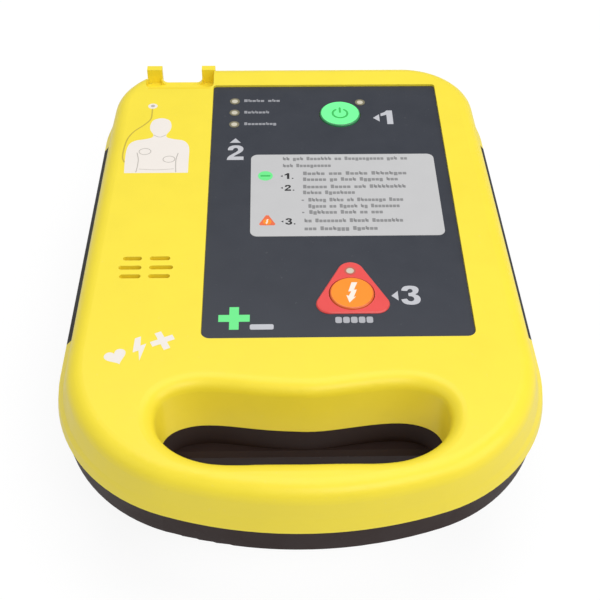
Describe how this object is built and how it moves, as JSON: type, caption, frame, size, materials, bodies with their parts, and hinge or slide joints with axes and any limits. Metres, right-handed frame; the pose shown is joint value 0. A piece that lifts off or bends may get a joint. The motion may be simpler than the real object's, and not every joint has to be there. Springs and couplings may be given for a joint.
{
  "type": "portable defibrillator",
  "caption": "Portable defibrillator in a flat rounded case with a built-in carry handle, recessed panel with press keys and lamps, corner plug socket and slide-out battery pack.",
  "frame": {"origin": "table plane under the middle of the overall box, with the unit lying on its back", "axes": "+X to the user's right when reading the panel, +Y away from the carry handle towards the plug socket, +Z out of the front panel"},
  "size_m": [0.2146, 0.302, 0.0893],
  "materials": {
    "yellow_plastic": "satin moulded",
    "dark_plastic": "fine moulded grain",
    "socket_plastic": "smooth moulded",
    "latch_plastic": "smooth moulded",
    "grip_rubber": "matte",
    "foot_rubber": "matte",
    "seal_rubber": "matte",
    "panel_film": "semi-gloss film",
    "label_film": "matt film",
    "green_key": "translucent satin",
    "orange_key": "translucent satin",
    "red_bezel": "satin moulded",
    "plunger_plastic": "smooth",
    "lens_plastic": "frosted",
    "board_laminate": "solder resist",
    "screw_steel": "zinc plated",
    "spring_steel": "bright",
    "led_body": "clear resin",
    "speaker_cloth": "woven",
    "basket_steel": "plated",
    "cone_paper": "pressed paper",
    "magnet_iron": "sintered",
    "contact_brass": "plated",
    "capacitor_sleeve": "shrink sleeve",
    "clamp_plastic": "nylon",
    "ferrite": "sintered",
    "copper_winding": "enamelled winding",
    "relay_plastic": "moulded",
    "sink_aluminium": "extruded",
    "chip_resin": "moulded resin",
    "can_steel": "tinned",
    "ribbon_film": "polyimide film",
    "wire_sleeve": "silicone sleeve",
    "cell_can": "printed sleeve"
  },
  "bodies": {
    "housing": {"bay_contacts": "contact_brass", "board_chips": "chip_resin", "board_connectors": "relay_plastic", "bottom_case": "dark_plastic", "capacitor_clamp": "clamp_plastic", "capacitor_terminals": "contact_brass", "case_screws": "screw_steel", "case_seal": "seal_rubber", "discharge_relay": "relay_plastic", "handle_screws": "screw_steel", "heat_sink": "sink_aluminium", "hv_capacitor": "capacitor_sleeve", "indicator_leds": "led_body", "instruction_label": "label_film", "key_board": "board_laminate", "key_board_screws": "screw_steel", "key_ribbon": "ribbon_film", "left_side_grip": "grip_rubber", "main_board": "board_laminate", "main_board_screws": "screw_steel", "pads_socket": "socket_plastic", "panel_overlay": "panel_film", "power_board": "board_laminate", "power_board_screws": "screw_steel", "power_lens": "lens_plastic", "power_transistors": "chip_resin", "right_side_grip": "grip_rubber", "rubber_feet": "foot_rubber", "shield_can": "can_steel", "shock_bezel": "red_bezel", "shock_lens": "lens_plastic", "snap_discs": "spring_steel", "socket_contacts": "contact_brass", "socket_wires": "wire_sleeve", "speaker_basket": "basket_steel", "speaker_cone": "cone_paper", "speaker_magnet": "magnet_iron", "speaker_mesh": "speaker_cloth", "speaker_wires": "wire_sleeve", "status_lenses": "lens_plastic", "tact_switches": "plunger_plastic", "terminal_block": "relay_plastic", "top_case": "yellow_plastic", "transformer_coil": "copper_winding", "transformer_core": "ferrite"},
    "power_button": {"onoff_key": "green_key", "onoff_plunger": "plunger_plastic"},
    "shock_button": {"shock_key": "orange_key", "shock_plunger": "plunger_plastic"},
    "battery_pack": {"battery_case": "dark_plastic", "battery_lid": "dark_plastic", "battery_terminals": "contact_brass", "battery_cells": "cell_can", "cell_straps": "can_steel", "battery_board": "board_laminate", "latch_springs": "spring_steel"},
    "pack_latch": {"battery_latch": "latch_plastic"}
  },
  "joints": [
    {"name": "power_press", "type": "slide", "parent": "housing", "child": "power_button", "axis": [0, 0, -1], "range_m": [0, 0.0008], "stiffness_N_per_m": 2500},
    {"name": "shock_press", "type": "slide", "parent": "housing", "child": "shock_button", "axis": [0, 0, -1], "range_m": [0, 0.0008], "stiffness_N_per_m": 2500},
    {"name": "battery_slide", "type": "slide", "parent": "housing", "child": "battery_pack", "axis": [0, 0, -1], "range_m": [0, 0.045]},
    {"name": "latch_slide", "type": "slide", "parent": "battery_pack", "child": "pack_latch", "axis": [0, 1, 0], "range_m": [0, 0.0024], "stiffness_N_per_m": 800, "deforming": ["latch_springs"]}
  ]
}
